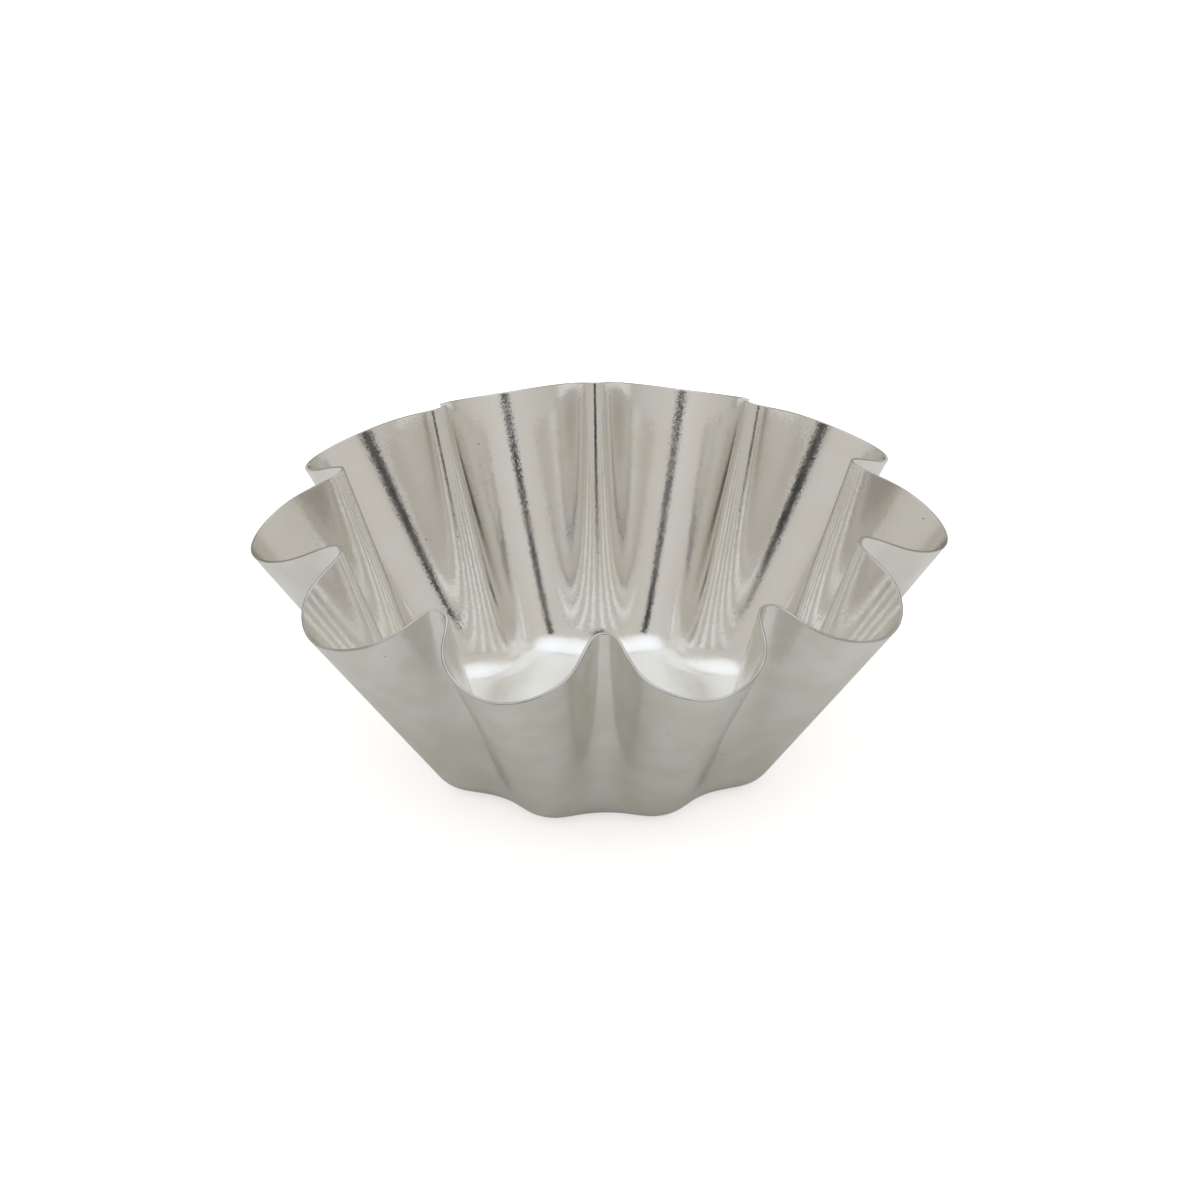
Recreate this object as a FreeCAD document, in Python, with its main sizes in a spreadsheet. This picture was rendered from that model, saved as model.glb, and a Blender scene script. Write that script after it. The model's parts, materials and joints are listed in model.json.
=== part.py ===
import FreeCAD, Part
import math
import os

import Sketcher
from FreeCAD import Vector

# Brioche mould: one pressing of bright tinplate. A flat floor bends up into flutes that open to a plain edge.
# Millimetres, +Z up, origin in the middle of the floor's underside.
# A flute is a lobe, which bulges outward, between two valleys, which fold inward. A lobe lies on the X axis.

SIZES = {
    "flutes": (10, "lobes around the mould"),
    "gauge": (0.35, "thickness of the tinplate"),
    "rim_lobe_diameter": (80, "across two opposite lobes, over the outside of their edge"),
    "lobe_rim_height": (25.1, "outside edge of a lobe above the table"),
    "rim_valley_diameter": (62.3, "across two opposite valleys, over the outside of their edge"),
    "valley_rim_height": (30, "outside edge of a valley above the table"),
    "rim_crown_radius": (60, "curve of the edge as it climbs from lobe to valley"),
    "base_lobe_diameter": (42.5, "across two opposite lobes where wall and floor would meet sharply"),
    "base_valley_diameter": (40.3, "across two opposite valleys there"),
    "bend_radius": (4.2, "outside of the bend from floor to wall"),
    "mouth_lobe_handle": (3.5, "fullness of a lobe at the mouth, as the length of its curve's handle"),
    "mouth_valley_handle": (2, "fullness of a valley at the mouth"),
    "flank_reach_share": (0.607, "how far out the flank's pole stands at the mouth, from valley to lobe"),
    "flank_turn_share": (0.859, "how far round that pole stands, from a lobe's middle to a valley"),
    "base_lobe_handle": (2.2, "fullness of a lobe at the base"),
    "base_valley_handle": (3.3, "fullness of a valley at the base"),
    "trim_overrun": (0.6, "how far the wall runs past the edge before it is trimmed"),
}

# The wall is straight from base to edge, so its lines also give the outline of the untrimmed mouth.
MOUTH_HEIGHT = "(Sizes.valley_rim_height + Sizes.trim_overrun)"
BASE_REACH = "Sizes.base_lobe_diameter / 2"
BASE_TIP = "Sizes.base_valley_diameter / 2"
RIM_REACH = "Sizes.rim_lobe_diameter / 2"
RIM_TIP = "Sizes.rim_valley_diameter / 2"
MOUTH_REACH = f"({BASE_REACH} + ({RIM_REACH} - {BASE_REACH}) * {MOUTH_HEIGHT} / Sizes.lobe_rim_height)"
MOUTH_TIP = f"({BASE_TIP} + ({RIM_TIP} - {BASE_TIP}) * {MOUTH_HEIGHT} / Sizes.valley_rim_height)"
HALF_FLUTE = "180 deg / Sizes.flutes"
FLANK_RADIUS = f"({MOUTH_TIP} + ({MOUTH_REACH} - {MOUTH_TIP}) * Sizes.flank_reach_share)"
FLANK_TURN = f"{HALF_FLUTE} * Sizes.flank_turn_share"

# The bend rolls along the base outline, so it stays inside its tightest turn, at a lobe or a valley.
# A curve of four poles turns at its end by two thirds of its fall over its handle squared.
BEND_WALL_SHARE = 0.95
END_TURN_SHARE = "2 / 3"
LOBE_FALL = f"({BASE_REACH} - {BASE_TIP} * cos({HALF_FLUTE}) - Sizes.base_valley_handle * sin({HALF_FLUTE}))"
VALLEY_FALL = f"({BASE_TIP} - {BASE_REACH} * cos({HALF_FLUTE}) - Sizes.base_lobe_handle * sin({HALF_FLUTE}))"
LOBE_TURN = f"{END_TURN_SHARE} * {LOBE_FALL} / Sizes.base_lobe_handle ^ 2"
VALLEY_TURN = f"{END_TURN_SHARE} * {VALLEY_FALL} / Sizes.base_valley_handle ^ 2"
BEND_RADIUS = f"min(Sizes.bend_radius; {BEND_WALL_SHARE} / max({LOBE_TURN}; {VALLEY_TURN}))"

# The trimmed part of the wall lies between these radii, from the edge up to this height.
TRIM_INNER = f"({RIM_TIP} - Sizes.trim_overrun)"
TRIM_OUTER = f"({MOUTH_REACH} + Sizes.trim_overrun)"
TRIM_TOP = f"({MOUTH_HEIGHT} + Sizes.trim_overrun)"

CURVE_DEGREE = 3

# How a sketch numbers the points of a line or curve, and its own origin.
START = 1
END = 2
CENTRE = 3
SKETCH_ORIGIN = (-1, 1)

FULL_TURN = 360
LEVEL_TOLERANCE = 1e-6


def make_sheet(doc):
    """The spreadsheet that holds every driving size, with its meaning beside it."""
    sheet = doc.addObject("Spreadsheet::Sheet", "Sizes")
    for row, (alias, (value, meaning)) in enumerate(SIZES.items(), 1):
        sheet.set(f"A{row}", alias)
        sheet.set(f"B{row}", str(value))
        sheet.setAlias(f"B{row}", alias)
        sheet.set(f"C{row}", meaning)
    doc.recompute()
    return sheet


def origin_plane(body, role):
    return next(feature for feature in body.Origin.OriginFeatures if feature.Role == role)


def new_sketch(body, name, role):
    sketch = body.newObject("Sketcher::SketchObject", name)
    sketch.AttachmentSupport = [(origin_plane(body, role), "")]
    sketch.MapMode = "FlatFace"
    return sketch


def constrain(sketch, kind, *places):
    return sketch.addConstraint(Sketcher.Constraint(kind, *places))


def bind(sketch, name, formula, kind, *places):
    """A dimension that follows the spreadsheet: the formula's value starts it and its expression keeps it."""
    value = sketch.evalExpression(formula)
    number = math.radians(value.Value) if kind == "Angle" else float(value)
    sketch.renameConstraint(constrain(sketch, kind, *places, number), name)
    sketch.setExpression(f"Constraints.{name}", formula)


def smooth_curve(poles):
    """One curve that starts at the first pole, ends at the last and has no break between."""
    end = CURVE_DEGREE + 1
    inner_knots = len(poles) - end
    curve = Part.BSplineCurve()
    curve.buildFromPolesMultsKnots(
        poles, [end] + [1] * inner_knots + [end], list(range(inner_knots + 2)), False, CURVE_DEGREE
    )
    return curve


def half_flute_outline(body, name, height, reach, tip, lobe_handle, valley_handle, flank=None):
    """Half a flute seen from above, from a lobe's middle on the X axis to the tip of the next valley.

    Its edge is one curve. Handles square to both ends let it run on into its mirror image. Where a flank is
    given, as the radius and turn of a pole, the lobe is full and the valley round.
    """
    sketch = new_sketch(body, name, "XY_Plane")
    sketch.setExpression("AttachmentOffset.Base.z", height)
    turn = sketch.evalExpression(HALF_FLUTE).Value
    toward_valley = FreeCAD.Rotation(Vector(0, 0, 1), turn)
    axis = Vector()
    lobe_top = Vector(sketch.evalExpression(reach), 0, 0)
    lobe_pole = lobe_top + Vector(0, sketch.evalExpression(lobe_handle), 0)
    valley_tip = toward_valley.multVec(Vector(sketch.evalExpression(tip), 0, 0))
    valley_pole = valley_tip - toward_valley.multVec(Vector(0, sketch.evalExpression(valley_handle), 0))
    curve_poles = [lobe_top, lobe_pole, valley_pole, valley_tip]
    if flank:
        flank_radius, flank_turn = flank
        toward_flank = FreeCAD.Rotation(Vector(0, 0, 1), sketch.evalExpression(flank_turn).Value)
        flank_pole = toward_flank.multVec(Vector(sketch.evalExpression(flank_radius), 0, 0))
        curve_poles.insert(2, flank_pole)

    lobe_line = sketch.addGeometry(Part.LineSegment(axis, lobe_top))
    curve = sketch.addGeometry(smooth_curve(curve_poles))
    valley_line = sketch.addGeometry(Part.LineSegment(valley_tip, axis))
    lobe_arm = sketch.addGeometry(Part.LineSegment(lobe_top, lobe_pole), True)
    valley_arm = sketch.addGeometry(Part.LineSegment(valley_tip, valley_pole), True)
    sketch.exposeInternalGeometry(curve)
    pole_marks = [i for i, shape in enumerate(sketch.Geometry) if shape.TypeId == "Part::GeomCircle"]
    _, lobe_mark, *flank_marks, valley_mark, _ = pole_marks

    constrain(sketch, "Coincident", lobe_line, START, *SKETCH_ORIGIN)
    constrain(sketch, "Horizontal", lobe_line)
    constrain(sketch, "Coincident", lobe_line, END, curve, START)
    constrain(sketch, "Coincident", curve, END, valley_line, START)
    constrain(sketch, "Coincident", valley_line, END, *SKETCH_ORIGIN)
    constrain(sketch, "Coincident", lobe_arm, START, lobe_line, END)
    constrain(sketch, "Vertical", lobe_arm)
    constrain(sketch, "Coincident", lobe_mark, CENTRE, lobe_arm, END)
    constrain(sketch, "Coincident", valley_arm, START, valley_line, START)
    constrain(sketch, "Perpendicular", valley_arm, valley_line)
    constrain(sketch, "Coincident", valley_mark, CENTRE, valley_arm, END)
    bind(sketch, "reach", reach, "Distance", lobe_line)
    bind(sketch, "tip", tip, "Distance", valley_line)
    bind(sketch, "lobe_handle", lobe_handle, "Distance", lobe_arm)
    bind(sketch, "valley_handle", valley_handle, "Distance", valley_arm)
    bind(sketch, "half_flute", HALF_FLUTE, "Angle", lobe_line, START, valley_line, END)
    for flank_mark in flank_marks:
        flank_arm = sketch.addGeometry(Part.LineSegment(axis, flank_pole), True)
        constrain(sketch, "Coincident", flank_arm, START, *SKETCH_ORIGIN)
        constrain(sketch, "Coincident", flank_mark, CENTRE, flank_arm, END)
        bind(sketch, "flank_radius", flank_radius, "Distance", flank_arm)
        bind(sketch, "flank_turn", flank_turn, "Angle", lobe_line, START, flank_arm, START)
    return sketch


def trim_profile(body):
    """What is cut off above the edge, turned about the axis.

    A pressing made from a round blank has an edge that climbs where the wall folds inward, so its height
    depends on the radius alone.
    """
    sketch = new_sketch(body, "trim_profile", "XZ_Plane")
    value = sketch.evalExpression
    valley = Vector(value(RIM_TIP), value("Sizes.valley_rim_height"), 0)
    lobe = Vector(value(RIM_REACH), value("Sizes.lobe_rim_height"), 0)
    crown = value("Sizes.rim_crown_radius")
    chord = lobe - valley
    below = Vector(chord.y, -chord.x, 0).normalize()
    middle = (valley + lobe) / 2
    centre = middle + below * math.sqrt(crown ** 2 - (chord.Length / 2) ** 2)
    inner = value(TRIM_INNER)
    outer = value(TRIM_OUTER)
    top = value(TRIM_TOP)
    inner_angle = math.acos((inner - centre.x) / crown)
    outer_angle = math.acos((outer - centre.x) / crown)
    inner_end = centre + Vector(math.cos(inner_angle), math.sin(inner_angle), 0) * crown
    outer_end = centre + Vector(math.cos(outer_angle), math.sin(outer_angle), 0) * crown
    inner_top = Vector(inner, top, 0)
    outer_top = Vector(outer, top, 0)

    circle = Part.Circle(centre, Vector(0, 0, 1), crown)
    edge = sketch.addGeometry(Part.ArcOfCircle(circle, outer_angle, inner_angle))
    inner_side = sketch.addGeometry(Part.LineSegment(inner_end, inner_top))
    top_side = sketch.addGeometry(Part.LineSegment(inner_top, outer_top))
    outer_side = sketch.addGeometry(Part.LineSegment(outer_top, outer_end))
    valley_mark = sketch.addGeometry(Part.Point(valley), True)
    lobe_mark = sketch.addGeometry(Part.Point(lobe), True)

    constrain(sketch, "Coincident", edge, END, inner_side, START)
    constrain(sketch, "Coincident", inner_side, END, top_side, START)
    constrain(sketch, "Coincident", top_side, END, outer_side, START)
    constrain(sketch, "Coincident", outer_side, END, edge, START)
    constrain(sketch, "Vertical", inner_side)
    constrain(sketch, "Horizontal", top_side)
    constrain(sketch, "Vertical", outer_side)
    constrain(sketch, "PointOnObject", valley_mark, START, edge)
    constrain(sketch, "PointOnObject", lobe_mark, START, edge)
    bind(sketch, "crown", "Sizes.rim_crown_radius", "Radius", edge)
    bind(sketch, "valley_radius", RIM_TIP, "DistanceX", *SKETCH_ORIGIN, valley_mark, START)
    bind(sketch, "valley_height", "Sizes.valley_rim_height", "DistanceY", *SKETCH_ORIGIN, valley_mark, START)
    bind(sketch, "lobe_radius", RIM_REACH, "DistanceX", *SKETCH_ORIGIN, lobe_mark, START)
    bind(sketch, "lobe_height", "Sizes.lobe_rim_height", "DistanceY", *SKETCH_ORIGIN, lobe_mark, START)
    bind(sketch, "inner_side", TRIM_INNER, "DistanceX", *SKETCH_ORIGIN, inner_side, END)
    bind(sketch, "outer_side", TRIM_OUTER, "DistanceX", *SKETCH_ORIGIN, top_side, END)
    bind(sketch, "top_side", TRIM_TOP, "DistanceY", *SKETCH_ORIGIN, top_side, END)
    return sketch


def level_face(shape, highest):
    """The name of the flat level face at the top or the bottom of a shape."""
    level = [
        (face.CenterOfMass.z, f"Face{number}")
        for number, face in enumerate(shape.Faces, 1)
        if face.findPlane() and abs(face.normalAt(0, 0).z) > 1 - LEVEL_TOLERANCE
    ]
    return max(level)[1] if highest else min(level)[1]


def make_shell(doc):
    """Half a flute is lofted, mirrored and repeated, then the whole is bent, hollowed and trimmed."""
    body = doc.addObject("PartDesign::Body", "mould_shell")
    body.Label = "mould_shell"

    base = half_flute_outline(
        body, "base_outline", "0", BASE_REACH, BASE_TIP, "Sizes.base_lobe_handle", "Sizes.base_valley_handle"
    )
    mouth = half_flute_outline(
        body, "mouth_outline", MOUTH_HEIGHT, MOUTH_REACH, MOUTH_TIP,
        "Sizes.mouth_lobe_handle", "Sizes.mouth_valley_handle", (FLANK_RADIUS, FLANK_TURN),
    )
    doc.recompute()

    flute = body.newObject("PartDesign::AdditiveLoft", "half_flute")
    flute.Profile = base
    flute.Sections = [mouth]
    flute.Ruled = True
    doc.recompute()

    around = body.newObject("PartDesign::MultiTransform", "flutes_around")
    around.Originals = [flute]
    whole_flute = body.newObject("PartDesign::Mirrored", "whole_flute")
    whole_flute.MirrorPlane = (origin_plane(body, "XZ_Plane"), [""])
    ring = body.newObject("PartDesign::PolarPattern", "ring_of_flutes")
    ring.Axis = (origin_plane(body, "Z_Axis"), [""])
    ring.Angle = FULL_TURN
    ring.setExpression("Occurrences", "Sizes.flutes")
    around.Transformations = [whole_flute, ring]
    body.Tip = around
    doc.recompute()

    bend = body.newObject("PartDesign::Fillet", "floor_bend")
    bend.Base = (around, [level_face(around.Shape, highest=False)])
    bend.setExpression("Radius", BEND_RADIUS)
    doc.recompute()

    hollow = body.newObject("PartDesign::Thickness", "tinplate")
    hollow.Base = (bend, [level_face(bend.Shape, highest=True)])
    hollow.setExpression("Value", "Sizes.gauge")
    hollow.Reversed = True
    doc.recompute()

    profile = trim_profile(body)
    trim = body.newObject("PartDesign::Groove", "rim_trim")
    trim.Profile = profile
    trim.ReferenceAxis = (profile, ["V_Axis"])
    trim.Angle = FULL_TURN
    body.Tip = trim
    doc.recompute()
    if not trim.Shape.Volume < hollow.Shape.Volume < around.Shape.Volume:
        raise RuntimeError("the hollow or the trim took nothing away")
    return body


def check_document(doc):
    """Stops if anything in the document failed, before anything is written."""
    for item in doc.Objects:
        if "Invalid" in item.State or "Error" in item.State:
            raise RuntimeError(f"{item.Name} failed: {item.State}")


def write_part(body):
    shape = body.Shape
    if shape.isNull() or not shape.isValid() or len(shape.Solids) != 1:
        raise RuntimeError(f"{body.Label} is not one sound solid")
    shape.exportStep(os.path.join("parts", f"{body.Label}.step"))


def main():
    doc = FreeCAD.newDocument("brioche_mould")
    make_sheet(doc)
    shell = make_shell(doc)
    doc.recompute()
    check_document(doc)
    os.makedirs("parts", exist_ok=True)
    write_part(shell)


main()
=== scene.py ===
import json
import math

import bpy
import numpy as np
from bpy.props import FloatProperty, FloatVectorProperty, IntProperty, PointerProperty
from mathutils import Matrix, Vector


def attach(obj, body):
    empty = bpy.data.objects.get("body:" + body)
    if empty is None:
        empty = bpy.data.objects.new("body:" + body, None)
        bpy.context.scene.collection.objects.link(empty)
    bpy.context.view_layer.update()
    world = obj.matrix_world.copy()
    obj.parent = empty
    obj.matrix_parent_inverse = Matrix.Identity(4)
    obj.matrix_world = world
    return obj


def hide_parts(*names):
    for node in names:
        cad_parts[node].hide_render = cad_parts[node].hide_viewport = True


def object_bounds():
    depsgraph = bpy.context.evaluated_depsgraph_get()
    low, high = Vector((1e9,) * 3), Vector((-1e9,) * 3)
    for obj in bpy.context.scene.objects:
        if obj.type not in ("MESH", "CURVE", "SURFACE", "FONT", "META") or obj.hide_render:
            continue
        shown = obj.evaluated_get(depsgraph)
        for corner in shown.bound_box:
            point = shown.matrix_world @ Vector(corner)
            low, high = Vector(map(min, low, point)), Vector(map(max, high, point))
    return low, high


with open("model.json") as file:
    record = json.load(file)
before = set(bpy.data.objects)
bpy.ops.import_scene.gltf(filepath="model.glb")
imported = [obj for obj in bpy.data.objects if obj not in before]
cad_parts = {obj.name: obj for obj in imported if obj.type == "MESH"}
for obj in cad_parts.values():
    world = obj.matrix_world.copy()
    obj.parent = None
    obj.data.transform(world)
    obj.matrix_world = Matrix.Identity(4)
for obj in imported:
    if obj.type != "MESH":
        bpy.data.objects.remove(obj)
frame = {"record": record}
CAD_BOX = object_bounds()
RIM_DIAMETER = CAD_BOX[1].x - CAD_BOX[0].x
TIN_COLOUR = tuple(frame["record"]["materials"][0]["base_color"])

bl_info = {
    "name": "Brioche mould",
    "version": (1, 0, 0),
    "blender": (4, 5, 0),
    "location": "View3D > Sidebar > Mould",
    "description": "Presses a fluted tinplate brioche mould and sets it on a studio table",
    "category": "Add Mesh",
}

NODE = "mould_shell"
BODY = "root"

# Lengths are metres, as in the frame. A lobe bulges outward and a valley folds inward.
MM = 0.001
DOWN = np.array([0.0, 0.0, -1.0])


# What a user would change

class MouldSizes(bpy.types.PropertyGroup):
    flutes: IntProperty(name="Flutes", description="Lobes around the mould", default=10, min=5)
    gauge: FloatProperty(
        name="Gauge", description="Thickness of the tinplate", default=0.35 * MM, unit="LENGTH",
        precision=5,
    )
    rim_lobe_diameter: FloatProperty(
        name="Rim over lobes", description="Across two opposite lobes at the edge", default=RIM_DIAMETER,
        unit="LENGTH",
    )
    lobe_rim_height: FloatProperty(
        name="Lobe height", description="Edge of a lobe above the table", default=25.1 * MM,
        unit="LENGTH",
    )
    rim_valley_diameter: FloatProperty(
        name="Rim over valleys", description="Across two opposite valleys at the edge",
        default=62.3 * MM, unit="LENGTH",
    )
    valley_rim_height: FloatProperty(
        name="Valley height", description="Edge of a valley above the table", default=30 * MM,
        unit="LENGTH",
    )
    rim_crown_radius: FloatProperty(
        name="Crown radius", description="Curve of the edge from lobe to valley", default=60 * MM,
        unit="LENGTH",
    )
    base_lobe_diameter: FloatProperty(
        name="Base over lobes", description="Across two opposite lobes at the base", default=42.5 * MM,
        unit="LENGTH",
    )
    base_valley_diameter: FloatProperty(
        name="Base over valleys", description="Across two opposite valleys at the base",
        default=40.3 * MM, unit="LENGTH",
    )
    bend_radius: FloatProperty(
        name="Bend radius", description="Outside of the bend from floor to wall", default=4.2 * MM,
        unit="LENGTH",
    )
    mouth_lobe_handle: FloatProperty(
        name="Mouth lobe fullness", description="Handle of a lobe at the mouth", default=3.5 * MM,
        unit="LENGTH",
    )
    mouth_valley_handle: FloatProperty(
        name="Mouth valley fullness", description="Handle of a valley at the mouth", default=2 * MM,
        unit="LENGTH",
    )
    flank_reach_share: FloatProperty(
        name="Flank reach",
        description="How far out the flank's pole stands at the mouth, from valley to lobe",
        default=0.607, subtype="FACTOR", min=0, max=1,
    )
    flank_turn_share: FloatProperty(
        name="Flank turn",
        description="How far round that pole stands, from a lobe's middle to a valley", default=0.859,
        subtype="FACTOR", min=0, max=1,
    )
    base_lobe_handle: FloatProperty(
        name="Base lobe fullness", description="Handle of a lobe at the base", default=2.2 * MM,
        unit="LENGTH",
    )
    base_valley_handle: FloatProperty(
        name="Base valley fullness", description="Handle of a valley at the base", default=3.3 * MM,
        unit="LENGTH",
    )
    trim_overrun: FloatProperty(
        name="Trim overrun", description="How far the wall runs past the edge before it is trimmed",
        default=0.6 * MM, unit="LENGTH", precision=5,
    )
    edge_bevel: FloatProperty(
        name="Edge bevel", description="Worn corner of the cut edge", default=0.07 * MM, unit="LENGTH",
        precision=5,
    )


class TinFinish(bpy.types.PropertyGroup):
    tin_colour: FloatVectorProperty(
        name="Tin", description="Bright tin", default=TIN_COLOUR, subtype="COLOR", min=0, max=1
    )
    warm_colour: FloatVectorProperty(
        name="Warm tin", description="Faint warm mottling", default=(0.785, 0.765, 0.71), subtype="COLOR",
        min=0, max=1,
    )
    outside_shade: FloatVectorProperty(
        name="Outside mottling", description="Duller patches outside", default=(0.735, 0.72, 0.66),
        subtype="COLOR", min=0, max=1,
    )
    edge_colour: FloatVectorProperty(
        name="Cut edge", description="Bare sheared edge", default=(0.56, 0.55, 0.53), subtype="COLOR",
        min=0, max=1,
    )
    edge_shade: FloatVectorProperty(
        name="Dull edge", description="Duller patches of the cut edge", default=(0.44, 0.42, 0.39),
        subtype="COLOR", min=0, max=1,
    )
    speck_colour: FloatVectorProperty(
        name="Specks", description="Tiny brown specks of age", default=(0.3, 0.22, 0.15),
        subtype="COLOR", min=0, max=1,
    )
    tin_roughness: FloatProperty(
        name="Roughness", description="Blur of the tin's reflections", default=0.165, subtype="FACTOR",
        min=0, max=1,
    )
    outside_roughness: FloatProperty(
        name="Outside roughness", description="Blur outside, where pressing dulled the tin", default=0.22,
        subtype="FACTOR", min=0, max=1,
    )
    edge_roughness: FloatProperty(
        name="Edge roughness", description="Blur on the cut edge", default=0.13, subtype="FACTOR", min=0,
        max=1,
    )
    grain_size: FloatProperty(
        name="Grain size", description="Size of the tin's fine grain", default=0.12 * MM, unit="LENGTH",
        precision=5,
    )
    grain_tilt: FloatProperty(
        name="Grain tilt", description="How far a grain leans from the sheet", default=math.radians(1.8),
        subtype="ANGLE",
    )
    line_depth: FloatProperty(
        name="Draw line depth", description="Height of the lines left by pressing", default=0.0006 * MM,
        unit="LENGTH", precision=7,
    )
    wave_depth: FloatProperty(
        name="Wave depth", description="Height of the slow waves in the pressed wall", default=0.008 * MM,
        unit="LENGTH", precision=6,
    )
    mottle_size: FloatProperty(
        name="Mottle size", description="Size of the warm patches", default=4 * MM, unit="LENGTH"
    )
    speck_spacing: FloatProperty(
        name="Speck spacing", description="Room around each brown speck", default=4 * MM, unit="LENGTH"
    )


class StageSettings(bpy.types.PropertyGroup):
    floor_size: FloatProperty(name="Floor", description="Side of the table", default=6, unit="LENGTH")
    floor_colour: FloatVectorProperty(
        name="Floor colour", description="Plain pale table", default=(0.885, 0.88, 0.86), subtype="COLOR",
        min=0, max=1,
    )
    floor_lift: FloatProperty(
        name="Floor lift", description="Light added where the camera sees the table", default=0.58,
        min=0,
    )
    floor_gloss_lift: FloatProperty(
        name="Floor lift in metal", description="Light added where metal mirrors the table",
        default=0.055, min=0,
    )
    tent_strength: FloatProperty(
        name="Tent strength", description="Brightness of the white tent", default=1.2, min=0
    )
    tent_foot: FloatVectorProperty(
        name="Tent foot", description="Warm white of the tent at table height",
        default=(0.48, 0.465, 0.44), subtype="COLOR", min=0, max=1,
    )
    tent_shoulder: FloatVectorProperty(
        name="Tent shoulder", description="White of the tent halfway up", default=(0.585, 0.57, 0.55),
        subtype="COLOR", min=0, max=1,
    )
    tent_top: FloatVectorProperty(
        name="Tent top", description="Cool white of the tent overhead", default=(0.9, 0.93, 1),
        subtype="COLOR", min=0, max=1,
    )
    tent_back: FloatVectorProperty(
        name="Tent back", description="Grey of the tent low behind the mould", default=(0.35, 0.34, 0.32),
        subtype="COLOR", min=0, max=1,
    )
    soft_box_side: FloatProperty(
        name="Soft box", description="Side of the lamp overhead", default=1.3, unit="LENGTH"
    )
    soft_box_distance: FloatProperty(
        name="Soft box distance", description="Lamp from the mould", default=1.1, unit="LENGTH"
    )
    soft_box_climb: FloatProperty(
        name="Soft box climb", description="How high the lamp stands, at 90 degrees overhead",
        default=math.radians(90), subtype="ANGLE",
    )
    soft_box_power: FloatProperty(
        name="Soft box power", description="Strength of the lamp overhead", default=0.9, unit="POWER"
    )
    soft_box_colour: FloatVectorProperty(
        name="Soft box colour", description="Cool white of the lamp", default=(0.85, 0.95, 1),
        subtype="COLOR", min=0, max=1,
    )
    card_turn: FloatProperty(
        name="Card turn", description="Dark card, right of the camera", default=math.radians(2.5),
        subtype="ANGLE",
    )
    card_climb: FloatProperty(
        name="Card climb", description="Middle of the dark card above the table",
        default=math.radians(27), subtype="ANGLE",
    )
    card_distance: FloatProperty(
        name="Card distance", description="Dark card from the mould", default=1.25, unit="LENGTH"
    )
    card_width: FloatProperty(
        name="Card width", description="Width of the dark card", default=0.34, unit="LENGTH"
    )
    card_height: FloatProperty(
        name="Card height", description="Height of the dark card", default=1.01, unit="LENGTH"
    )
    card_colour: FloatVectorProperty(
        name="Card colour", description="Charcoal of the dark card", default=(0.04, 0.04, 0.04),
        subtype="COLOR", min=0, max=1,
    )
    camera_turn: FloatProperty(
        name="Camera turn", description="Camera round the mould", default=-0.01298, subtype="ANGLE"
    )
    camera_climb: FloatProperty(
        name="Camera climb", description="Camera above the mouth", default=0.4836, subtype="ANGLE"
    )
    camera_roll: FloatProperty(
        name="Camera roll", description="Tilt of the camera", default=-0.00975, subtype="ANGLE"
    )
    camera_distance: FloatProperty(
        name="Camera distance", description="Camera from the middle of the mouth", default=1.0454,
        unit="LENGTH",
    )
    mouth_height: FloatProperty(
        name="Mouth height", description="Middle of the mouth above the table", default=25.58 * MM,
        unit="LENGTH",
    )
    camera_lens: FloatProperty(
        name="Lens", description="Focal length in millimetres", default=273.9, unit="CAMERA"
    )
    camera_drop: FloatProperty(
        name="Camera drop", description="Aim below the middle of the mouth, in the picture",
        default=6.96 * MM, unit="LENGTH",
    )


# Shape of the shell

# Rings of the mesh, and steps around half a flute
HALF_FLUTE_STEPS = 32
WALL_ROWS = 30
BEND_ROWS = 9
FLOOR_SHARES = (0.06, 0.3, 0.55, 0.78, 0.93)

# A ring this far under the worn corner keeps the wall's shading flat up to the edge.
EDGE_SUPPORT = 0.04 * MM
CURVE_DEGREE = 3

# The edge is searched from the base up to this share of the mouth's height.
SEARCH_LIMIT = 1.5
SOLVE_STEPS = 40

# Places in the shell's list of materials
INSIDE = 0
CUT_EDGE = 1
OUTSIDE = 2


def smooth_curve(poles, shares):
    """Points and tangents at shares along one smooth curve from the first pole to the last."""
    inner = np.arange(1, len(poles) - CURVE_DEGREE) / (len(poles) - CURVE_DEGREE)
    knots = np.concatenate([[0] * (CURVE_DEGREE + 1), inner, [1] * (CURVE_DEGREE + 1)])
    return blend_poles(knots, poles, CURVE_DEGREE, shares), curve_speed(knots, poles, shares)


def blend_poles(knots, poles, degree, shares):
    """The curve's own rule of repeated blending between neighbouring poles."""
    spans = np.clip(np.searchsorted(knots, shares, side="right") - 1, degree, len(poles) - 1)
    blended = [poles[spans - degree + k] for k in range(degree + 1)]
    for level in range(1, degree + 1):
        for k in range(degree, level - 1, -1):
            low = knots[spans - degree + k]
            high = knots[spans + 1 + k - level]
            weight = ((shares - low) / (high - low))[:, None]
            blended[k] = (1 - weight) * blended[k - 1] + weight * blended[k]
    return blended[degree]


def curve_speed(knots, poles, shares):
    """Tangents, from the curve through the differences of the poles."""
    gaps = knots[CURVE_DEGREE + 1:CURVE_DEGREE + len(poles)] - knots[1:len(poles)]
    arms = CURVE_DEGREE * np.diff(poles, axis=0) / gaps[:, None]
    return blend_poles(knots[1:-1], arms, CURVE_DEGREE - 1, shares)


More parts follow.
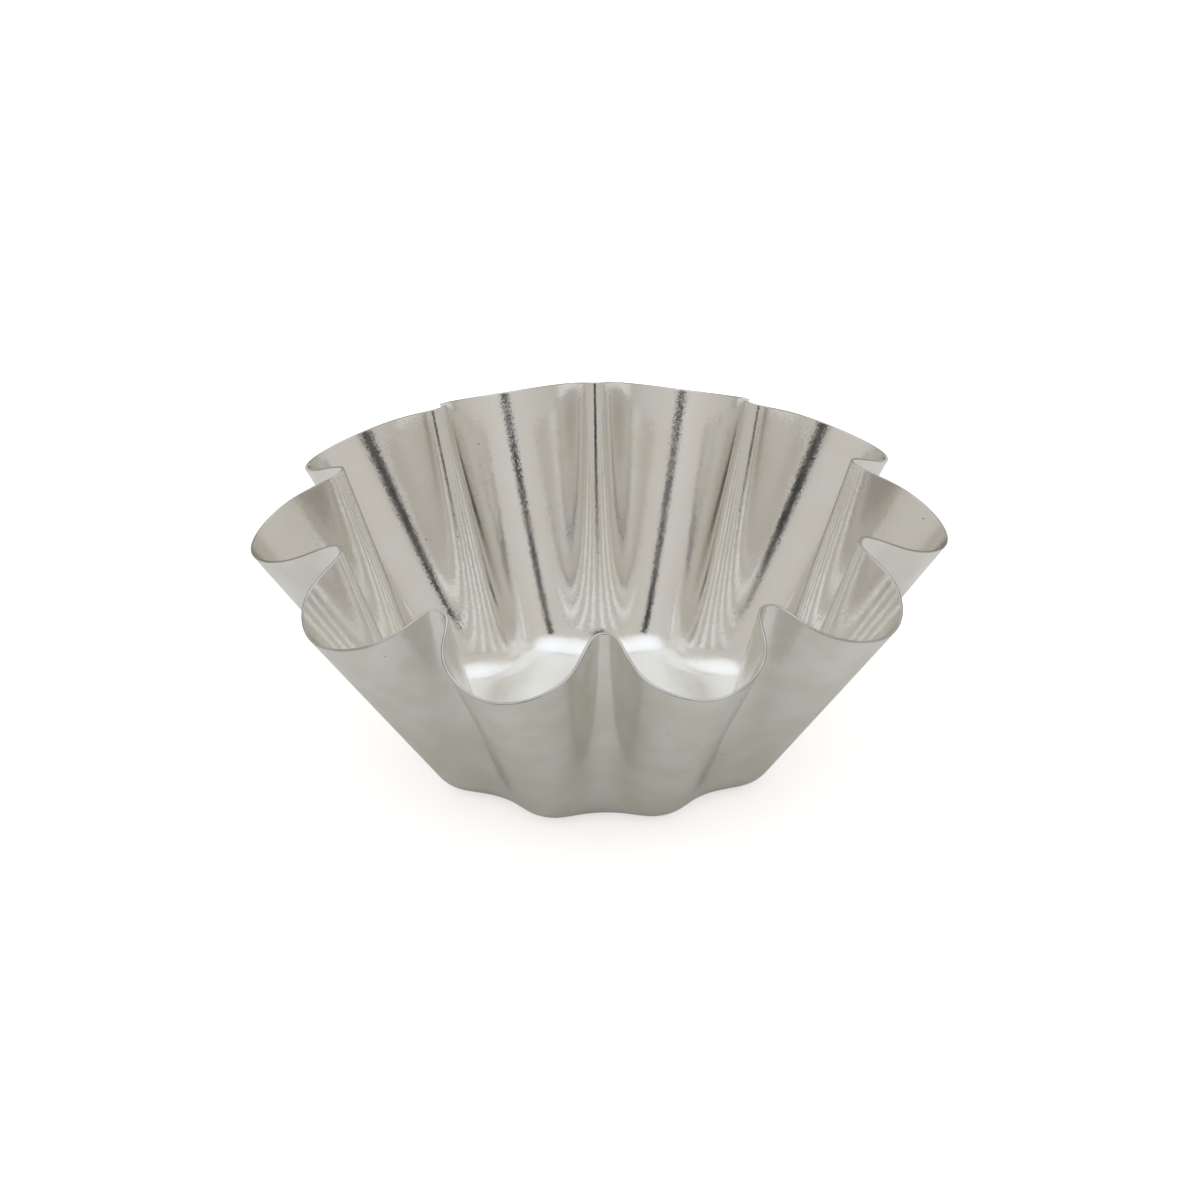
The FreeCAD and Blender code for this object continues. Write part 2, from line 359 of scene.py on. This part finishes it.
def fluted_outline(sizes, reach, tip, lobe_handle, valley_handle, flank=None):
    """Points and tangents all round an outline, counterclockwise from the middle of the lobe on +X."""
    half = math.pi / sizes.flutes
    ray = np.array([math.cos(half), math.sin(half)])
    side = np.array([-math.sin(half), math.cos(half)])
    poles = [[reach, 0], [reach, lobe_handle], tip * ray - valley_handle * side, tip * ray]
    if flank:
        radius, turn = flank
        poles.insert(2, [radius * math.cos(turn), radius * math.sin(turn)])
    poles = np.array(poles, dtype=float)

    def mirrored(vectors):
        return 2 * np.outer(vectors @ ray, ray) - vectors

    climb = np.arange(HALF_FLUTE_STEPS) / HALF_FLUTE_STEPS
    to_valley, to_valley_tangents = smooth_curve(poles, climb)
    to_lobe, to_lobe_tangents = smooth_curve(poles, 1 - climb)
    flute = np.vstack([to_valley, mirrored(to_lobe)])
    tangents = np.vstack([to_valley_tangents, -mirrored(to_lobe_tangents)])
    turns = [Matrix.Rotation(2 * half * number, 2) for number in range(sizes.flutes)]
    points = np.vstack([flute @ np.array(turn).T for turn in turns])
    tangents = np.vstack([tangents @ np.array(turn).T for turn in turns])
    return points, tangents


class FlutedWall:
    """The wall before it is bent and trimmed: straight lines from the base to the mouth."""

    def __init__(self, sizes):
        self.sizes = sizes
        base_reach = sizes.base_lobe_diameter / 2
        base_tip = sizes.base_valley_diameter / 2
        rim_reach = sizes.rim_lobe_diameter / 2
        rim_tip = sizes.rim_valley_diameter / 2
        self.height = sizes.valley_rim_height + sizes.trim_overrun
        mouth_reach = base_reach + (rim_reach - base_reach) * self.height / sizes.lobe_rim_height
        mouth_tip = base_tip + (rim_tip - base_tip) * self.height / sizes.valley_rim_height
        flank_radius = mouth_tip + (mouth_reach - mouth_tip) * sizes.flank_reach_share
        flank_turn = math.pi / sizes.flutes * sizes.flank_turn_share
        self.base, self.base_tangents = fluted_outline(
            sizes, base_reach, base_tip, sizes.base_lobe_handle, sizes.base_valley_handle
        )
        self.mouth, self.mouth_tangents = fluted_outline(
            sizes, mouth_reach, mouth_tip, sizes.mouth_lobe_handle, sizes.mouth_valley_handle,
            (flank_radius, flank_turn),
        )
        valley = np.array([rim_tip, sizes.valley_rim_height])
        lobe = np.array([rim_reach, sizes.lobe_rim_height])
        chord = lobe - valley
        length = np.linalg.norm(chord)
        below = np.array([chord[1], -chord[0]]) / length
        drop = math.sqrt(sizes.rim_crown_radius ** 2 - (length / 2) ** 2)
        self.crown_centre = (valley + lobe) / 2 + below * drop

    def skin(self, climb, depth=0.0):
        """Points a depth below the outer skin at a share of the mouth's height, and outward normals."""
        climb = climb[:, None]
        flat = (1 - climb) * self.base + climb * self.mouth
        tangents = (1 - climb) * self.base_tangents + climb * self.mouth_tangents
        lean = self.mouth - self.base
        across = tangents[:, 0] * lean[:, 1] - tangents[:, 1] * lean[:, 0]
        normals = np.column_stack([tangents[:, 1] * self.height, -tangents[:, 0] * self.height, across])
        normals /= np.linalg.norm(normals, axis=1)[:, None]
        points = np.column_stack([flat, climb * self.height])
        return points - depth * normals, normals

    def bend_contact(self):
        """Where the bend leaves the wall, as a share of the mouth's height."""
        radius = self.sizes.bend_radius
        climb = np.zeros(len(self.base))
        for _ in range(SOLVE_STEPS):
            _, normals = self.skin(climb)
            climb = radius * (1 + normals[:, 2]) / self.height
        return climb

    def edge_contact(self, depth):
        """Where the cut edge crosses the wall, as a share of the mouth's height."""
        low = np.zeros(len(self.base))
        high = np.full(len(self.base), SEARCH_LIMIT)
        for _ in range(SOLVE_STEPS):
            middle = (low + high) / 2
            points, _ = self.skin(middle, depth)
            below = points[:, 2] < self.edge_height(points)
            low = np.where(below, middle, low)
            high = np.where(below, high, middle)
        return (low + high) / 2

    def edge_height(self, points):
        """Height of the trimmed edge at each point's distance from the axis."""
        reach = np.hypot(points[:, 0], points[:, 1])
        crown = self.sizes.rim_crown_radius
        across = np.clip(reach - self.crown_centre[0], -crown, crown)
        return self.crown_centre[1] + np.sqrt(crown ** 2 - across ** 2)


def skin_rows(wall, depth):
    """Rings of one skin from near the floor's middle, out round the bend and up to the edge."""
    sizes = wall.sizes
    contact = wall.bend_contact()
    touch, normals = wall.skin(contact)
    centres = touch - sizes.bend_radius * normals
    radius = sizes.bend_radius - depth
    foot = centres + radius * DOWN
    floor_middle = np.array([0.0, 0.0, depth])
    rows = [floor_middle + share * (foot - floor_middle) for share in FLOOR_SHARES]
    swing = np.arccos(-normals[:, 2])[:, None]
    for share in np.arange(BEND_ROWS) / BEND_ROWS:
        toward_wall = np.sin((1 - share) * swing) * DOWN + np.sin(share * swing) * normals
        rows.append(centres + radius * toward_wall / np.sin(swing))
    corner = wall.edge_contact(depth) - sizes.edge_bevel / wall.height
    support = corner - EDGE_SUPPORT / wall.height
    climbs = [contact + share * (support - contact) for share in np.arange(WALL_ROWS + 1) / WALL_ROWS]
    return rows + [wall.skin(climb, depth)[0] for climb in climbs + [corner]]


def edge_rows(wall):
    """Rings across the cut edge, from the outer skin to the inner one, with its worn corners."""
    sizes = wall.sizes
    outer, _ = wall.skin(wall.edge_contact(0.0))
    inner, _ = wall.skin(wall.edge_contact(sizes.gauge), sizes.gauge)
    bevel_share = sizes.edge_bevel / sizes.gauge
    return [outer + share * (inner - outer) for share in (bevel_share, 0.5, 1 - bevel_share)]


def shell_rows(sizes):
    """Rings of the closed shell: up the outer skin, across the cut edge and down the inner skin."""
    wall = FlutedWall(sizes)
    outer = skin_rows(wall, 0.0)
    edge = edge_rows(wall)
    inner = skin_rows(wall, sizes.gauge)[::-1]
    return outer, edge, inner


def row_lengths(rows):
    """Mean distance along the sheet from the first ring to each ring."""
    steps = [0.0]
    for before, after in zip(rows, rows[1:]):
        steps.append(float(np.linalg.norm(after - before, axis=1).mean()))
    return np.cumsum(steps)


def ring_faces(around, along, row_finishes):
    """Quads between the rings and a fan at each end, their places on the sheet and their materials."""
    last_row = len(along) - 1
    under = len(along) * around
    top = under + 1
    faces = []
    places = []
    finishes = []
    for i in range(around):
        j = (i + 1) % around
        left = i / around
        right = (i + 1) / around
        middle = (left + right) / 2
        faces.append((under, j, i))
        places += [(middle, 0), (right, along[0]), (left, along[0])]
        finishes.append(OUTSIDE)
        for row in range(last_row):
            low = row * around
            high = low + around
            faces.append((low + i, low + j, high + j, high + i))
            places += [(left, along[row]), (right, along[row])]
            places += [(right, along[row + 1]), (left, along[row + 1])]
            finishes.append(row_finishes[row])
        low = last_row * around
        faces.append((low + i, low + j, top))
        places += [(left, along[-1]), (right, along[-1]), (middle, 1)]
        finishes.append(INSIDE)
    return faces, places, finishes


def mark_pressing(mesh, sizes, around, along, corners):
    """Stores which way the sheet flowed in the press, and where it was pressed out of the flat."""
    angles = 2 * math.pi * np.arange(around) / around
    circle = np.column_stack([np.cos(angles), np.sin(angles)])
    flow = [np.column_stack([circle, np.full(around, share)]) for share in along]
    flow = np.vstack(flow + [np.array([[0, 0, 0], [0, 0, 1]])])
    mesh.attributes.new("flow", "FLOAT_VECTOR", "POINT").data.foreach_set("vector", flow.ravel())
    pressed = np.clip((corners[:, 2] - sizes.gauge) / sizes.bend_radius, 0, 1)
    mesh.attributes.new("pressed", "FLOAT", "POINT").data.foreach_set("value", pressed)


def shell_mesh(sizes, name):
    """The closed shell, with its floor's middle under and over the sheet as the last two corners."""
    outer, edge, inner = shell_rows(sizes)
    rows = outer + edge + inner
    around = len(rows[0])
    floor_middles = np.array([[0, 0, 0], [0, 0, sizes.gauge]])
    corners = np.vstack(rows + [floor_middles])
    lengths = row_lengths(rows)
    # Shares of the way along the sheet, with the fans at both ends as long as the first step
    along = (lengths + lengths[1]) / (lengths[-1] + 2 * lengths[1])
    row_finishes = [OUTSIDE] * (len(outer) - 1)
    row_finishes += [CUT_EDGE] * (len(edge) + 1)
    row_finishes += [INSIDE] * (len(inner) - 1)
    faces, places, finishes = ring_faces(around, along, row_finishes)

    mesh = bpy.data.meshes.new(name)
    mesh.from_pydata(corners.tolist(), [], faces)
    mesh.uv_layers.new(name="sheet").data.foreach_set("uv", np.ravel(places))
    mesh.polygons.foreach_set("material_index", np.array(finishes, dtype=np.int32))
    mesh.polygons.foreach_set("use_smooth", np.ones(len(faces), dtype=bool))
    mark_pressing(mesh, sizes, around, along, corners)
    mesh.validate()
    mesh.update()
    return mesh


# Finish of the tinplate

# How often lines and waves repeat across and along the sheet, and how much finer detail they carry
LINE_STRETCH = (150, 150, 2)
LINE_DETAIL = 3
WAVE_STRETCH = (9, 9, 2)
WAVE_DETAIL = 1

# Where patches and specks start and end to show, and how the blur varies with the patches
MOTTLE_RANGE = (0.36, 0.64)
MOTTLE_DETAIL = 1
SPECK_RANGE = (0.035, 0.02)
BLUR_SHARES = (0.85, 1.15)
CELL_MIDDLE = (0.5, 0.5, 0.5)

GRAIN_INPUTS = ("Grain Scale", "Grain Tilt", "Line Depth", "Wave Depth", "Mottle Scale", "Speck Scale")


def node(tree, kind, **settings):
    made = tree.nodes.new(kind)
    for name, value in settings.items():
        setattr(made, name, value)
    return made


def mask(tree, limits, **settings):
    """A value that goes from 0 at the first limit to 1 at the second."""
    made = node(tree, "ShaderNodeMapRange", **settings)
    made.inputs["From Min"].default_value = limits[0]
    made.inputs["From Max"].default_value = limits[1]
    return made


def flowing_noise(group, stretch, detail):
    """Noise drawn out the way that the sheet flowed in the press."""
    flow = node(group, "ShaderNodeAttribute", attribute_name="flow")
    drawn = node(group, "ShaderNodeMapping")
    drawn.inputs["Scale"].default_value = stretch
    noise = node(group, "ShaderNodeTexNoise")
    noise.inputs["Scale"].default_value = 1
    noise.inputs["Detail"].default_value = detail
    group.links.new(flow.outputs["Vector"], drawn.inputs["Vector"])
    group.links.new(drawn.outputs["Vector"], noise.inputs["Vector"])
    return noise


def tilt_grains(group, given, result):
    """Each grain of the tin leans its own way."""
    place = node(group, "ShaderNodeTexCoord")
    sheet = node(group, "ShaderNodeNewGeometry")
    grains = node(group, "ShaderNodeTexVoronoi")
    lean = node(group, "ShaderNodeVectorMath", operation="SUBTRACT")
    lean.inputs[1].default_value = CELL_MIDDLE
    tilt = node(group, "ShaderNodeVectorMath", operation="SCALE")
    tilted = node(group, "ShaderNodeVectorMath", operation="ADD")
    normal = node(group, "ShaderNodeVectorMath", operation="NORMALIZE")
    link = group.links.new
    link(place.outputs["Object"], grains.inputs["Vector"])
    link(given.outputs["Grain Scale"], grains.inputs["Scale"])
    link(grains.outputs["Color"], lean.inputs[0])
    link(lean.outputs["Vector"], tilt.inputs[0])
    link(given.outputs["Grain Tilt"], tilt.inputs["Scale"])
    link(sheet.outputs["Normal"], tilted.inputs[0])
    link(tilt.outputs["Vector"], tilted.inputs[1])
    link(tilted.outputs["Vector"], normal.inputs[0])
    link(normal.outputs["Vector"], result.inputs["Normal"])


def raise_lines(group, given, result):
    """Fine lines and slow waves on the pressed wall, fading out on the flat floor."""
    lines = flowing_noise(group, LINE_STRETCH, LINE_DETAIL)
    waves = flowing_noise(group, WAVE_STRETCH, WAVE_DETAIL)
    pressed = node(group, "ShaderNodeAttribute", attribute_name="pressed")
    line_height = node(group, "ShaderNodeMath", operation="MULTIPLY")
    wave_height = node(group, "ShaderNodeMath", operation="MULTIPLY")
    both = node(group, "ShaderNodeMath", operation="ADD")
    height = node(group, "ShaderNodeMath", operation="MULTIPLY")
    link = group.links.new
    link(lines.outputs["Fac"], line_height.inputs[0])
    link(given.outputs["Line Depth"], line_height.inputs[1])
    link(waves.outputs["Fac"], wave_height.inputs[0])
    link(given.outputs["Wave Depth"], wave_height.inputs[1])
    link(line_height.outputs["Value"], both.inputs[0])
    link(wave_height.outputs["Value"], both.inputs[1])
    link(both.outputs["Value"], height.inputs[0])
    link(pressed.outputs["Fac"], height.inputs[1])
    link(height.outputs["Value"], result.inputs["Height"])


def mark_patches(group, given, result):
    """Broad patches of a second tone and tiny specks, as masks."""
    place = node(group, "ShaderNodeTexCoord")
    mottle = node(group, "ShaderNodeTexNoise")
    mottle.inputs["Detail"].default_value = MOTTLE_DETAIL
    patches = mask(group, MOTTLE_RANGE)
    cells = node(group, "ShaderNodeTexVoronoi")
    specks = mask(group, SPECK_RANGE)
    link = group.links.new
    link(place.outputs["Object"], mottle.inputs["Vector"])
    link(given.outputs["Mottle Scale"], mottle.inputs["Scale"])
    link(mottle.outputs["Fac"], patches.inputs["Value"])
    link(patches.outputs["Result"], result.inputs["Mottle"])
    link(place.outputs["Object"], cells.inputs["Vector"])
    link(given.outputs["Speck Scale"], cells.inputs["Scale"])
    link(cells.outputs["Distance"], specks.inputs["Value"])
    link(specks.outputs["Result"], result.inputs["Specks"])


def tin_grain_group():
    """Grain as a normal, lines and waves from pressing as a height, patches and specks as masks."""
    name = "tin_grain"
    if name in bpy.data.node_groups:
        return bpy.data.node_groups[name]
    group = bpy.data.node_groups.new(name, "ShaderNodeTree")
    for socket in GRAIN_INPUTS:
        group.interface.new_socket(socket, in_out="INPUT", socket_type="NodeSocketFloat")
    group.interface.new_socket("Normal", in_out="OUTPUT", socket_type="NodeSocketVector")
    for socket in ("Height", "Mottle", "Specks"):
        group.interface.new_socket(socket, in_out="OUTPUT", socket_type="NodeSocketFloat")
    given = node(group, "NodeGroupInput")
    result = node(group, "NodeGroupOutput")
    tilt_grains(group, given, result)
    raise_lines(group, given, result)
    mark_patches(group, given, result)
    return group


def grained_metal(name, finish, colour, second_colour, roughness):
    """A metal whose tone, blur and surface follow the tin's grain."""
    material = bpy.data.materials.new(name)
    material.use_nodes = True
    tree = material.node_tree
    tree.nodes.clear()
    output = node(tree, "ShaderNodeOutputMaterial")
    metal = node(tree, "ShaderNodeBsdfPrincipled")
    metal.inputs["Metallic"].default_value = 1
    grain = node(tree, "ShaderNodeGroup", node_tree=tin_grain_group())
    grain.inputs["Grain Scale"].default_value = 1 / finish.grain_size
    # A grain's random lean reaches half a unit each way, so twice the tangent gives the full tilt.
    grain.inputs["Grain Tilt"].default_value = 2 * math.tan(finish.grain_tilt)
    grain.inputs["Line Depth"].default_value = finish.line_depth
    grain.inputs["Wave Depth"].default_value = finish.wave_depth
    grain.inputs["Mottle Scale"].default_value = 1 / finish.mottle_size
    grain.inputs["Speck Scale"].default_value = 1 / finish.speck_spacing
    tone = node(tree, "ShaderNodeMix", data_type="RGBA")
    tone.inputs["A"].default_value = (*colour, 1)
    tone.inputs["B"].default_value = (*second_colour, 1)
    aged = node(tree, "ShaderNodeMix", data_type="RGBA")
    aged.inputs["B"].default_value = (*finish.speck_colour, 1)
    blur = node(tree, "ShaderNodeMapRange")
    blur.inputs["To Min"].default_value = roughness * BLUR_SHARES[0]
    blur.inputs["To Max"].default_value = roughness * BLUR_SHARES[1]
    bump = node(tree, "ShaderNodeBump")
    bump.inputs["Strength"].default_value = 1
    bump.inputs["Distance"].default_value = 1
    link = tree.links.new
    link(grain.outputs["Mottle"], tone.inputs["Factor"])
    link(tone.outputs["Result"], aged.inputs["A"])
    link(grain.outputs["Specks"], aged.inputs["Factor"])
    link(aged.outputs["Result"], metal.inputs["Base Color"])
    link(grain.outputs["Mottle"], blur.inputs["Value"])
    link(blur.outputs["Result"], metal.inputs["Roughness"])
    link(grain.outputs["Height"], bump.inputs["Height"])
    link(grain.outputs["Normal"], bump.inputs["Normal"])
    link(bump.outputs["Normal"], metal.inputs["Normal"])
    link(metal.outputs["BSDF"], output.inputs["Surface"])
    return material


# Stage

def floor_material(stage):
    """A pale table that the camera sees as white, with the mould's shadow, and that metal mirrors."""
    material = bpy.data.materials.new("pale_table")
    material.use_nodes = True
    tree = material.node_tree
    tree.nodes.clear()
    output = node(tree, "ShaderNodeOutputMaterial")
    matt = node(tree, "ShaderNodeBsdfDiffuse")
    matt.inputs["Color"].default_value = (*stage.floor_colour, 1)
    lift = node(tree, "ShaderNodeEmission")
    path = node(tree, "ShaderNodeLightPath")
    seen = node(tree, "ShaderNodeMath", operation="MULTIPLY")
    seen.inputs[1].default_value = stage.floor_lift
    mirrored = node(tree, "ShaderNodeMath", operation="MULTIPLY")
    mirrored.inputs[1].default_value = stage.floor_gloss_lift
    strength = node(tree, "ShaderNodeMath", operation="ADD")
    both = node(tree, "ShaderNodeAddShader")
    link = tree.links.new
    link(path.outputs["Is Camera Ray"], seen.inputs[0])
    link(path.outputs["Is Glossy Ray"], mirrored.inputs[0])
    link(seen.outputs["Value"], strength.inputs[0])
    link(mirrored.outputs["Value"], strength.inputs[1])
    link(strength.outputs["Value"], lift.inputs["Strength"])
    link(matt.outputs["BSDF"], both.inputs[0])
    link(lift.outputs["Emission"], both.inputs[1])
    link(both.outputs["Shader"], output.inputs["Surface"])
    return material


def plane_object(name, width, height, material):
    """A flat stage piece in its own XY plane."""
    x = width / 2
    y = height / 2
    mesh = bpy.data.meshes.new(name)
    mesh.from_pydata([(-x, -y, 0), (x, -y, 0), (x, y, 0), (-x, y, 0)], [], [(0, 1, 2, 3)])
    mesh.materials.append(material)
    made = bpy.data.objects.new(name, mesh)
    bpy.context.scene.collection.objects.link(made)
    return made


def card_material(stage):
    material = bpy.data.materials.new("dark_card")
    material.use_nodes = True
    shader = material.node_tree.nodes["Principled BSDF"]
    shader.inputs["Base Color"].default_value = (*stage.card_colour, 1)
    shader.inputs["Roughness"].default_value = 1
    return material


def toward(turn, climb):
    """Direction from the mould: turned about the axis from -Y toward +X, and lifted above the table."""
    return Vector((math.sin(turn) * math.cos(climb), -math.cos(turn) * math.cos(climb), math.sin(climb)))


# How far up a direction points where the tent has its middle colour
TENT_SHOULDER_AT = math.sin(math.radians(45))

# How far back and how low a direction points where the tent starts and ends to turn grey
TENT_BACK_RANGE = (0.3, 0.65)
TENT_LOW_RANGE = (0.55, 0.28)

# The table lies this far under the mould, so that their faces don't coincide.
TABLE_DROP = 0.05 * MM

# Sensor width in millimetres that the lens goes with
SENSOR_WIDTH = 36


def light_world(stage):
    """A white tent, grey low at the back, and plain white where the camera looks past the table."""
    world = bpy.data.worlds.new("light_tent")
    bpy.context.scene.world = world
    world.use_nodes = True
    tree = world.node_tree
    tree.nodes.clear()
    output = node(tree, "ShaderNodeOutputWorld")
    tent = node(tree, "ShaderNodeBackground")
    tent.inputs["Strength"].default_value = stage.tent_strength
    white = node(tree, "ShaderNodeBackground")
    white.inputs["Color"].default_value = (1, 1, 1, 1)
    place = node(tree, "ShaderNodeTexCoord")
    split = node(tree, "ShaderNodeSeparateXYZ")
    ramp = node(tree, "ShaderNodeValToRGB")
    ramp.color_ramp.elements.new(TENT_SHOULDER_AT)
    colours = (stage.tent_foot, stage.tent_shoulder, stage.tent_top)
    for element, colour in zip(ramp.color_ramp.elements, colours):
        element.color = (*colour, 1)
    back = mask(tree, TENT_BACK_RANGE, interpolation_type="SMOOTHSTEP")
    low = mask(tree, TENT_LOW_RANGE, interpolation_type="SMOOTHSTEP")
    low_back = node(tree, "ShaderNodeMath", operation="MULTIPLY")
    shaded = node(tree, "ShaderNodeMix", data_type="RGBA")
    shaded.inputs["B"].default_value = (*stage.tent_back, 1)
    path = node(tree, "ShaderNodeLightPath")
    choose = node(tree, "ShaderNodeMixShader")
    link = tree.links.new
    link(place.outputs["Generated"], split.inputs["Vector"])
    link(split.outputs["Z"], ramp.inputs["Fac"])
    link(split.outputs["Y"], back.inputs["Value"])
    link(split.outputs["Z"], low.inputs["Value"])
    link(back.outputs["Result"], low_back.inputs[0])
    link(low.outputs["Result"], low_back.inputs[1])
    link(low_back.outputs["Value"], shaded.inputs["Factor"])
    link(ramp.outputs["Color"], shaded.inputs["A"])
    link(shaded.outputs["Result"], tent.inputs["Color"])
    link(path.outputs["Is Camera Ray"], choose.inputs["Fac"])
    link(tent.outputs["Background"], choose.inputs[1])
    link(white.outputs["Background"], choose.inputs[2])
    link(choose.outputs["Shader"], output.inputs["Surface"])


def set_camera(stage):
    camera = bpy.data.objects.new("photo_camera", bpy.data.cameras.new("photo_camera"))
    bpy.context.scene.collection.objects.link(camera)
    bpy.context.scene.camera = camera
    camera.data.lens = stage.camera_lens
    camera.data.sensor_width = SENSOR_WIDTH
    middle = Vector((0, 0, stage.mouth_height))
    back = toward(stage.camera_turn, stage.camera_climb)
    camera.location = middle + back * stage.camera_distance
    upward = toward(stage.camera_turn, stage.camera_climb + math.pi / 2)
    aim = middle - upward * stage.camera_drop
    facing = (aim - camera.location).to_track_quat("-Z", "Y").to_matrix()
    camera.rotation_euler = (facing @ Matrix.Rotation(stage.camera_roll, 3, "Z")).to_euler()


# Operators and panel

class MOULD_OT_press_shell(bpy.types.Operator):
    """Press the mould's shell from one sheet of tinplate"""

    bl_idname = "mould.press_shell"
    bl_label = "Press shell"

    def execute(self, context):
        sizes = context.scene.mould_sizes
        finish = context.scene.tin_finish
        shell = bpy.data.objects.new("tinplate_shell", shell_mesh(sizes, "tinplate_shell"))
        context.scene.collection.objects.link(shell)
        # In the order of INSIDE, CUT_EDGE and OUTSIDE
        for name, colour, second_colour, roughness in (
            ("tinplate", finish.tin_colour, finish.warm_colour, finish.tin_roughness),
            ("cut_edge", finish.edge_colour, finish.edge_shade, finish.edge_roughness),
            ("tinplate_outside", finish.tin_colour, finish.outside_shade, finish.outside_roughness),
        ):
            shell.data.materials.append(grained_metal(name, finish, colour, second_colour, roughness))
        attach(shell, BODY)
        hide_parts(NODE)
        return {"FINISHED"}


class MOULD_OT_set_stage(bpy.types.Operator):
    """Set the pale table, the soft light and the camera"""

    bl_idname = "mould.set_stage"
    bl_label = "Set stage"

    def execute(self, context):
        stage = context.scene.mould_stage
        context.scene.view_settings.view_transform = "Standard"
        floor = plane_object("table", stage.floor_size, stage.floor_size, floor_material(stage))
        floor.location.z = -TABLE_DROP
        card = plane_object("dark_card", stage.card_width, stage.card_height, card_material(stage))
        direction = toward(stage.card_turn, stage.card_climb)
        card.location = direction * stage.card_distance
        card.rotation_euler = direction.to_track_quat("Z", "Y").to_euler()
        card.visible_camera = False
        lamp = bpy.data.objects.new("soft_box", bpy.data.lights.new("soft_box", "AREA"))
        context.scene.collection.objects.link(lamp)
        lamp.data.size = stage.soft_box_side
        lamp.data.energy = stage.soft_box_power
        lamp.data.color = stage.soft_box_colour
        overhead = toward(math.pi, stage.soft_box_climb)
        lamp.location = overhead * stage.soft_box_distance
        lamp.rotation_euler = overhead.to_track_quat("Z", "Y").to_euler()
        light_world(stage)
        set_camera(stage)
        return {"FINISHED"}


class MOULD_PT_panel(bpy.types.Panel):
    """Sizes, finish and stage of the brioche mould"""

    bl_idname = "MOULD_PT_panel"
    bl_label = "Brioche mould"
    bl_space_type = "VIEW_3D"
    bl_region_type = "UI"
    bl_category = "Mould"

    def draw(self, context):
        for group in (context.scene.mould_sizes, context.scene.tin_finish, context.scene.mould_stage):
            box = self.layout.box()
            for name in group.bl_rna.properties.keys():
                if name not in ("rna_type", "name"):
                    box.prop(group, name)
        self.layout.operator(MOULD_OT_press_shell.bl_idname)
        self.layout.operator(MOULD_OT_set_stage.bl_idname)


CLASSES = (MouldSizes, TinFinish, StageSettings, MOULD_OT_press_shell, MOULD_OT_set_stage, MOULD_PT_panel)


def register():
    for entry in CLASSES:
        bpy.utils.register_class(entry)
    bpy.types.Scene.mould_sizes = PointerProperty(type=MouldSizes)
    bpy.types.Scene.tin_finish = PointerProperty(type=TinFinish)
    bpy.types.Scene.mould_stage = PointerProperty(type=StageSettings)


def unregister():
    del bpy.types.Scene.mould_stage
    del bpy.types.Scene.tin_finish
    del bpy.types.Scene.mould_sizes
    for entry in reversed(CLASSES):
        bpy.utils.unregister_class(entry)


def main():
    register()
    bpy.ops.mould.press_shell()
    bpy.ops.mould.set_stage()


if __name__ == "__main__":
    main()
